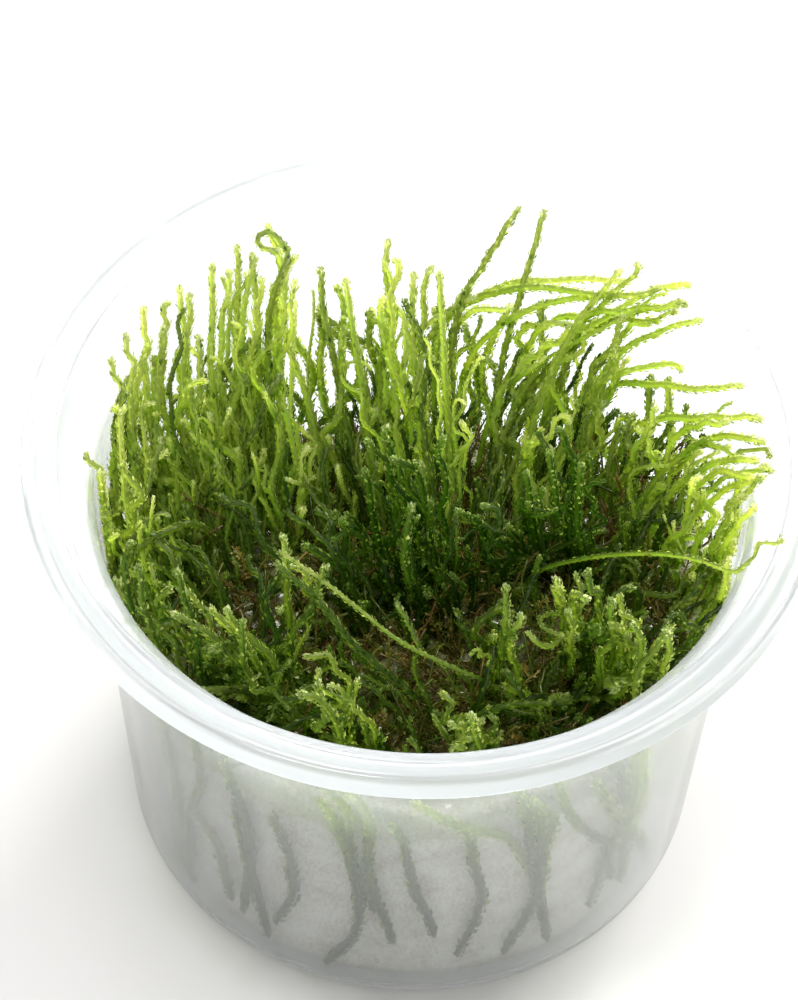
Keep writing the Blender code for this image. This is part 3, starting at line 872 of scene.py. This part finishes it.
def beside(path, rng, foot_gap, tip_gap, share):
    """A neighbour's path: it starts near the foot, runs alongside and parts near the tip."""
    stop = max(6, int(len(path) * share))
    at = np.linspace(0, 1, stop)[:, None]
    start = rng.normal(0, foot_gap, 3) * (1, 1, 0)
    end = rng.normal(0, tip_gap, 3) * (1, 1, 0.5)
    bow = rng.normal(0, 0.6 * tip_gap, 3) * (1, 1, 0.2)
    return path[:stop] + start * (1 - at) + end * at ** 1.5 + bow * np.sin(math.pi * at)


green_leaf = leafy(
    "green_leaf",
    [
        (0.0, (0.024, 0.030, 0.004)), (0.15, (0.014, 0.036, 0.003)),
        (0.45, (0.020, 0.060, 0.005)), (0.75, (0.060, 0.120, 0.014)),
        (0.92, (0.130, 0.200, 0.042)), (1.0, (0.215, 0.295, 0.095)),
    ],
    [
        (0.0, (0.150, 0.165, 0.030)), (0.15, (0.170, 0.262, 0.036)),
        (0.45, (0.390, 0.485, 0.095)), (0.75, (0.560, 0.610, 0.250)),
        (0.92, (0.610, 0.635, 0.410)), (1.0, (0.640, 0.660, 0.520)),
    ],
    glow_colour=(1.50, 1.45, 1.24), glow_share=0.74, shadow_colour=(0.66, 0.74, 0.36),
    roughness=0.34,
)

# Each side's locks: how many neighbours a shoot has, how far they start and end from it,
# the range of its tone, which is painted light and shade (lit at the left, back and right,
# shaded at the front and darkest in the middle), and how mixed theirs are. "more" are shoots
# that only this script draws, as (foot), (bend), (tip). The one with more points is the curl.
LOCKS = {
    "left": {
        "seed": 31, "mixed": 0.34, "neighbours": 6, "foot": 1.6, "tip": 2.4, "tones": (0.50, 0.92),
        "more": [
            ((-27, -3), (-31, 12, 57), (-31, 24, 66)), ((-25, -3), (-29, 10, 56), (-30, 20, 64)),
            ((-36, -9), (-41, -5, 55), (-43, -2, 63)), ((-32, -9), (-37, 5, 54), (-37, 19, 63)),
            ((-28, -2), (-34, 10, 56), (-34, 24, 65)), ((-22, 0), (-24, 16, 57), (-22, 28, 66)),
            ((-21, 2), (-23, 18, 58), (-23, 30, 67)), ((-19, 4), (-20, 20, 58), (-18, 31, 67)),
            ((-24, 2), (-26, 17, 57), (-26, 28, 67)),
            ((-18, 3), (-20.6, 22, 62), (-19.2, 28, 68), (-18.3, 31, 68), (-18.9, 33, 68),
             (-21, 35.4, 68), (-22.6, 34.6, 68), (-22.2, 32.8, 68), (-20.8, 32.4, 68)),
        ],
    },
    "back": {
        "seed": 32, "mixed": 0.28, "neighbours": 4, "foot": 1.7, "tip": 2.3, "tones": (0.42, 1.0),
        "more": [
            ((0, 0), (-3, 17, 56), (-5, 27, 65)),
            ((-2, 7), (-4, 20, 58), (-5, 31, 67)), ((3, 4), (-1, 20, 59), (0, 30, 68)),
        ],
    },
    "right": {
        "seed": 33, "mixed": 0.22, "neighbours": 3, "foot": 1.8, "tip": 2.3, "tones": (0.65, 1.0),
        "more": [
            ((2, 28), (4, 31, 55), (11, 27, 64)), ((3, 23), (8, 31, 54), (22, 29, 65)),
            ((7, 20), (14, 30, 56), (32, 27, 67)), ((13, 14), (20, 28, 58), (32, 29, 68)),
            ((25, 10), (28, 13, 55), (30, 14, 61)), ((30, 11), (33, 14, 56), (38, 10, 64)),
            ((35, -4), (36, 0, 55), (35, 2, 63)), ((14, 12), (19, 26, 58), (27, 32, 68)),
            ((32, 2), (36, 4, 58), (41, 1, 66)), ((37, -4), (39, -1, 58), (42, -1, 66)),
            ((38, -7), (38, -3, 56), (40, -2, 64)), ((1, 23), (4, 34, 55), (27, 29, 67)),
        ],
    },
    "front": {
        "seed": 34, "mixed": 0.15, "neighbours": 5, "foot": 2.8, "tip": 3.2, "tones": (0.08, 0.42),
        "more": [
            ((-18, -23), (-20, -23, 54), (-23, -23, 64)),
            ((-14, -20), (-15, -18, 54), (-12, -14, 61)),
            ((-13, -28), (-12, -31, 54), (-11, -32, 60)), ((30, -22), (31, -25, 56), (31, -25, 66)),
            ((24, -15), (23, -15, 56), (21, -16, 65)), ((15, -22), (12, -19, 54), (13, -18, 58)),
            ((19, -22), (26, -28, 52), (30, -24, 64)), ((-24, -20), (-22, -25, 53), (-21, -24, 63)),
            ((8, -26), (7, -31, 51), (6, -33, 57)), ((-34, -14), (-36, -17, 56), (-36, -15, 65)),
        ],
    },
    "middle": {
        "seed": 35, "mixed": 0.05, "neighbours": 7, "foot": 2.4, "tip": 2.2, "tones": (0.0, 0.06),
        "more": [
            ((4, -2), (3, 1, 58), (2, 2, 68)), ((-2, -2), (-4, 1, 59), (-6, 2, 68)),
            ((0, -3), (-2, 1, 59), (-4, 3, 68)), ((1, -8), (-2, -7, 56), (-1, -7, 63)),
            ((22, 0), (20, -1, 58), (20, -1, 67)), ((20, 5), (19, 7, 57), (18, 7, 64)),
            ((-9, -8), (-10, -5, 53), (-9, -4, 60)),
        ],
    },
}

# The two long strands that cross the cup, from foot to tip, have only small leaves left
BARE_LINES = {
    "shoot_front_06": (
        (18, -24.5, 0), (11, -22.5, 49), (4.5, -22, 53), (-2, -20.5, 56), (-7, -17.5, 58),
        (-12, -14.5, 60), (-16.5, -12.5, 62),
    ),
    "shoot_right_10": (
        (13.5, -3.5, 0), (16, -4, 50), (23, -6, 56), (30, -9, 61), (35, -12, 64),
        (39, -15, 66), (41, -14.5, 68), (42.5, -14, 69), (43.8, -13.6, 70.2),
    ),
}

THIN_SHOOTS = {"shoot_back_02": 0.5}

# Shoots that stand apart have fewer neighbours than the rest of their lock
LONE_SHOOTS = {
    "shoot_back_02": 0, "shoot_front_05": 0, "shoot_front_06": 0, "shoot_right_10": 0,
    "shoot_back_07": 1, "shoot_back_08": 0, "shoot_back_09": 1,
}


def grow_neighbour(growth, leader, lock, lock_tone, rng):
    """A shoot that runs beside another, and sometimes has a short branch."""
    share = 0.4 + 0.6 * rng.uniform() ** 1.5
    path = beside(leader, rng, lock["foot"], lock["tip"], share)
    path = parted(off_the_front(limp(path, NEIGHBOUR_BEND, rng)))
    if rng.uniform() < HOOKED_SHARE:
        path = hooked(path, rng.uniform(0.5, 2.6), rng)
    darkest = 0.6 * lock["tones"][0]
    tone = np.clip(lock_tone + rng.normal(0, lock["mixed"]), darkest, 0.95)
    vigour = rng.uniform(0.5, 1.1)
    grow_shoot(growth, path, vigour, rng.uniform(0.7, 1.0), tone, rng)
    if rng.uniform() < BRANCH_SHARE:
        branch = side_branch(path, rng)
        grow_shoot(growth, branch, 0.8 * vigour, rng.uniform(0.8, 1.0), tone, rng)


leaders = []
for side, lock in LOCKS.items():
    rng = np.random.default_rng(lock["seed"])
    growth = new_growth()
    nodes = sorted(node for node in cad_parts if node.startswith(f"shoot_{side}_"))
    lines = []
    for node in nodes:
        if node in BARE_LINES:
            continue
        neighbours = LONE_SHOOTS.get(node, lock["neighbours"])
        lines.append((centre_line(node), neighbours, TRACED_BEND, THIN_SHOOTS.get(node, 1.0)))
    for foot, *rest in lock["more"]:
        line = (foot + (0,), *rest)
        if len(rest) > 2:
            lines.append((line, 0, CURL_BEND, 1.0))
        else:
            lines.append((line, lock["neighbours"] // 2, ADDED_BEND, 1.0))
    for node in BARE_LINES:
        if node in nodes:
            grow_bare(growth, smooth_path(rooted(BARE_LINES[node]), PATH_POINTS), rng)
    for line, neighbours, bend, vigour in lines:
        leader = smooth_path(rooted(line), PATH_POINTS)
        leaders.append(leader)
        lock_tone = rng.uniform(*lock["tones"])
        path = limp(leader, bend, rng)
        grow_shoot(growth, path, vigour, rng.uniform(0.9, 1.0), lock_tone, rng)
        for number in range(neighbours):
            grow_neighbour(growth, leader, lock, lock_tone, rng)
    piece = growth_piece(f"{side}_shoots", growth, green_leaf)
    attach(piece, "root")
    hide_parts(*nodes)


# Young growth: shorter shoots of the same moss, painted darker with the shaded end of the
# tones, which come up between the long ones all over the cushion and lean the way these do.
# Some sprawl over the rest, and some grew up the inside of the wall and show through it.

YOUNG_SHOOTS = 430
YOUNG_REACH = 35.5
YOUNG_BACK = 23.0
YOUNG_BEND = 0.6
YOUNG_HOOKED_SHARE = 0.4
YOUNG_LIGHTEST = 0.42
NEAREST_LEADERS = 4
SPRAWLING_SHOOTS = 70
SPRAWLING_BEND = 1.2
SPRAWLING_LIGHTEST = 0.4

# Bare hollows where the old stems show: the place of each, and the squares of its reach
# to the sides and back
HOLLOW_SHARE = 0.72
HOLLOWS = [(7, -12, 130, 190), (-15, -3, 70, 90), (8, 12, 60, 60)]

WALL_SHOOTS = 30
WALL_SHOOTS_START = -15
WALL_SHOOTS_TURN = 210
WALL_SHOOT_CLEARANCE = 0.8
WALL_SHOOT_BEND = 0.3
WALL_SHOOT_VIGOUR = 1.2
WALL_SHOOT_AGE = 0.85

# Shoots seen through the front of the wall, from foot to tip: degrees round, height
FRONT_WALL_SHOOTS = [
    [(-140, 3), (-150, 14), (-162, 24), (-170, 42)],
    [(-146, 3), (-154, 14), (-165, 22), (-172, 36)],
    [(-140, 8), (-141, 21), (-142, 30), (-145, 39), (-148, 48)],
    [(-141, 5), (-140, 15), (-137, 26), (-133, 35), (-134, 47)],
    [(-119, 4), (-122, 18), (-124, 36), (-127, 48)],
    [(-125, 7), (-122, 24), (-123, 36), (-126, 45)], [(-128, 8), (-131, 21), (-137, 24)],
    [(-117, 9), (-112, 22), (-116, 38)],
    [(-106, 3), (-99, 16), (-101, 37), (-102, 46), (-107, 51)],
    [(-92, 12), (-97, 30), (-97, 43), (-101, 51)], [(-96, 20), (-102, 37), (-106, 46)],
    [(-84, 14), (-90, 34), (-93, 43)],
    [(-59, 5), (-63, 20), (-70, 36), (-75, 40), (-81, 43), (-89, 49)],
    [(-79, 8), (-75, 22), (-79, 39), (-84, 45)],
    [(-69, 6), (-63, 20), (-64, 34), (-66, 43), (-71, 50)],
    [(-61, 12), (-66, 33), (-68, 43), (-70, 49)],
    [(-64, 20), (-63, 33), (-62, 38), (-67, 46)],
    [(-44, 12), (-48, 24), (-53, 30), (-59, 39), (-63, 49)],
    [(-49, 8), (-45, 23), (-39, 28), (-42, 45)],
    [(-30, 6), (-35, 15), (-45, 28), (-54, 44)],
    [(-40, 8), (-41, 22), (-42, 33), (-45, 46)], [(-14, 6), (-12, 22), (-10, 38)],
    [(-45, 32), (-48, 43), (-54, 48)],
]


def in_hollow(x, y):
    """How far a place is in the bare hollows, from 0 to 1."""
    depth = 0.0
    for at_x, at_y, across, back in HOLLOWS:
        depth += math.exp(-((x - at_x) ** 2 / across + (y - at_y) ** 2 / back))
    return min(1.0, depth)


def leaning_path(x, y, reach, rng):
    """A path as far up as reach says, which leans as the nearest long shoots do."""
    feet = np.array([leader[0][:2] for leader in leaders])
    weight = 1 / (np.linalg.norm(feet - (x, y), axis=1) ** 2 + 4.0)
    weight = weight * (weight >= np.sort(weight)[-NEAREST_LEADERS])
    weight /= weight.sum()
    shape = sum(w * (leader - leader[0]) for w, leader in zip(weight, leaders) if w > 0)
    stop = max(8, int(PATH_POINTS * reach))
    start = np.array((x, y, ground(x, y) - 2.0))
    lean = rng.normal(0, 0.28, 3) * (1, 1, 0)
    path = shape[:stop]
    return start + path + lean * path[:, 2:3]


def sprawling_path(rng):
    """A long limp shoot that rises a little and then lies over its neighbours."""
    x, y = rng.uniform(-30, 30), rng.uniform(-32, 4)
    way = rng.normal(0.5, 0.6)
    ahead = np.array((math.copysign(math.cos(way), x + rng.normal(0, 8)), math.sin(way)))
    length = rng.uniform(10, 22)
    share = np.linspace(0, 1, 40)
    rise = rng.uniform(5, 12) * np.sin(share * rng.uniform(1.3, 2.6))
    points = np.column_stack([
        x + length * share ** 1.3 * ahead[0], y + length * share ** 1.3 * ahead[1], rise
    ])
    points[:, 2] += ground(x, y) - 1.0
    return points


def climbing_path(marks):
    """A path up the inside of the wall through marks of (degrees round, height)."""
    points = []
    for degrees, z in marks:
        reach = inner_radius(z) - WALL_SHOOT_CLEARANCE
        turn = math.radians(degrees)
        points.append((reach * math.cos(turn), reach * math.sin(turn), z))
    return smooth_path(points, 40)


young_rng = np.random.default_rng(41)
young_growth = new_growth()
for number in range(YOUNG_SHOOTS):
    turn = young_rng.uniform(0, math.tau)
    reach = YOUNG_REACH * math.sqrt(young_rng.uniform(0, 1))
    x, y = reach * math.cos(turn), reach * math.sin(turn)
    if y > YOUNG_BACK or young_rng.uniform() < HOLLOW_SHARE * in_hollow(x, y):
        continue
    path = leaning_path(x, y, young_rng.uniform(0.22, 0.55), young_rng)
    path = parted(off_the_front(limp(path, YOUNG_BEND, young_rng)))
    if young_rng.uniform() < YOUNG_HOOKED_SHARE:
        path = hooked(path, young_rng.uniform(0.5, 2.4), young_rng)
    vigour = young_rng.uniform(0.55, 0.9)
    # Painted shade: a young shoot's tone stays at the shaded end, darker still near the axis
    tone = young_rng.uniform(0.0, YOUNG_LIGHTEST) * min(1, 0.15 + reach / 30)
    grow_shoot(young_growth, path, vigour, young_rng.uniform(0.35, 0.95), tone, young_rng)
for number in range(SPRAWLING_SHOOTS):
    path = off_the_front(limp(sprawling_path(young_rng), SPRAWLING_BEND, young_rng))
    tone = young_rng.uniform(0.0, SPRAWLING_LIGHTEST)
    vigour = young_rng.uniform(0.65, 0.95)
    grow_shoot(young_growth, path, vigour, young_rng.uniform(0.5, 0.95), tone, young_rng)
climbers = list(FRONT_WALL_SHOOTS)
for number in range(WALL_SHOOTS):
    at = (number + young_rng.uniform(0, 0.8)) / WALL_SHOOTS
    turn = WALL_SHOOTS_START + WALL_SHOOTS_TURN * at
    foot, top = young_rng.uniform((6, 42), (30, 55))
    lean = young_rng.normal(0, 7, 2)
    climbers.append([(turn, foot), (turn + lean[0], (foot + top) / 2), (turn + lean[1], top)])
for marks in climbers:
    path = limp(climbing_path(marks), WALL_SHOOT_BEND, young_rng)
    tone = young_rng.uniform(0.25, 0.7)
    grow_shoot(young_growth, path, WALL_SHOOT_VIGOUR, WALL_SHOOT_AGE, tone, young_rng)
young = growth_piece("young_shoots", young_growth, green_leaf)
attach(young, "root")


# Floor: a plain pale sheet that the cup stands on and throws its shadow on. It is only
# the stage, and isn't part of the cup.

FLOOR_HALF = 2.5


def pale_sheet():
    """Smooth matt card, very slightly uneven in colour."""
    material, tree, shader = new_material("pale_sheet")
    shader.inputs["Roughness"].default_value = 0.75
    place = add_node(tree, "ShaderNodeTexCoord")
    mottle = mottle_node(
        tree, place.outputs["Object"], blotch_scale=3.0, fine_scale=60.0, fine_share=0.2
    )
    colour = ramp_node(tree, [(0.3, (0.560, 0.548, 0.536)), (0.7, (0.580, 0.568, 0.556))])
    wire(tree, (mottle, "Mask", colour, "Fac"), (colour, "Color", shader, "Base Color"))
    return material


floor_mesh = bpy.data.meshes.new("floor")
floor_mesh.from_pydata(
    [(-FLOOR_HALF, -FLOOR_HALF, 0), (FLOOR_HALF, -FLOOR_HALF, 0),
     (FLOOR_HALF, FLOOR_HALF, 0), (-FLOOR_HALF, FLOOR_HALF, 0)],
    [], [(0, 1, 2, 3)],
)
floor = new_piece("floor", floor_mesh, pale_sheet())


# Light: a bright room that is brightest behind the cup on the right, so that light comes
# through the leaves, a soft lamp on that side, and a small one above that adds glints.

BRIGHT_SIDE = (0.35, 0.80, 0.45)
DIM_STRENGTH = 0.42
BRIGHT_STRENGTH = 1.5
LAMP_AIM = (0, 0, 0.05)

scene = bpy.context.scene
world = bpy.data.worlds.new("room")
world.use_nodes = True
room = world.node_tree
sky = room.nodes["Background"]
sky.inputs["Color"].default_value = (0.97, 0.985, 1.0, 1.0)
way = add_node(room, "ShaderNodeTexCoord")
towards = add_node(room, "ShaderNodeVectorMath", operation="DOT_PRODUCT")
towards.inputs[1].default_value = Vector(BRIGHT_SIDE).normalized()
bright = add_node(room, "ShaderNodeMapRange", {
    "From Min": -0.8, "From Max": 0.8, "To Min": DIM_STRENGTH, "To Max": BRIGHT_STRENGTH,
}, interpolation_type="SMOOTHSTEP")
wire(
    room,
    (way, "Generated", towards, 0), (towards, "Value", bright, "Value"),
    (bright, "Result", sky, "Strength"),
)
scene.world = world


def soft_lamp(name, place, size, power):
    """A rectangular lamp, turned towards the moss."""
    lamp = bpy.data.lights.new(name, "AREA")
    lamp.shape = "RECTANGLE"
    lamp.size, lamp.size_y = size
    lamp.energy = power
    made = bpy.data.objects.new(name, lamp)
    made.location = place
    made.rotation_euler = (Vector(LAMP_AIM) - Vector(place)).to_track_quat("-Z", "Y").to_euler()
    scene.collection.objects.link(made)


soft_lamp("back_lamp", place=(0.40, 0.50, 0.38), size=(0.45, 0.3), power=8.5)
soft_lamp("top_lamp", place=(-0.10, 0.05, 0.77), size=(0.14, 0.14), power=3.6)


# Camera: it looks down at the cup from the front at about 52 degrees, rolled a little. It
# is turned so that the rim's middle comes right of and above the middle of the picture.

LENS = 162.0
SENSOR = 36.0
PICTURE_HEIGHT = 1000
RIM_RIGHT = 22
RIM_ABOVE = 53
VIEW_RISE = math.radians(52.2)
VIEW_ROLL = math.radians(-2.28)
VIEW_DISTANCE = 0.5635
VIEW_PAN = math.atan2(RIM_RIGHT, PICTURE_HEIGHT * LENS / SENSOR)
VIEW_TILT = math.atan2(RIM_ABOVE, PICTURE_HEIGHT * LENS / SENSOR)
RIM_CENTRE = Vector((0, 0, 0.0691))

camera_data = bpy.data.cameras.new("camera")
camera_data.lens = LENS
camera_data.sensor_width = SENSOR
camera_data.sensor_fit = "AUTO"
camera = bpy.data.objects.new("camera", camera_data)
scene.collection.objects.link(camera)
back = Vector((0, -math.cos(VIEW_RISE), math.sin(VIEW_RISE)))
right = Vector((1, 0, 0))
up = back.cross(right)
panned = math.cos(VIEW_PAN) * right - math.sin(VIEW_PAN) * back
depth = -math.sin(VIEW_PAN) * right - math.cos(VIEW_PAN) * back
raised = math.cos(VIEW_TILT) * up + math.sin(VIEW_TILT) * depth
depth = -math.sin(VIEW_TILT) * up + math.cos(VIEW_TILT) * depth
x_axis = math.cos(VIEW_ROLL) * panned - math.sin(VIEW_ROLL) * raised
y_axis = math.sin(VIEW_ROLL) * panned + math.cos(VIEW_ROLL) * raised
camera.matrix_world = (
    Matrix.Translation(RIM_CENTRE + back * VIEW_DISTANCE)
    @ Matrix((x_axis, y_axis, -depth)).transposed().to_4x4()
)
scene.camera = camera
scene.view_settings.view_transform = "Standard"
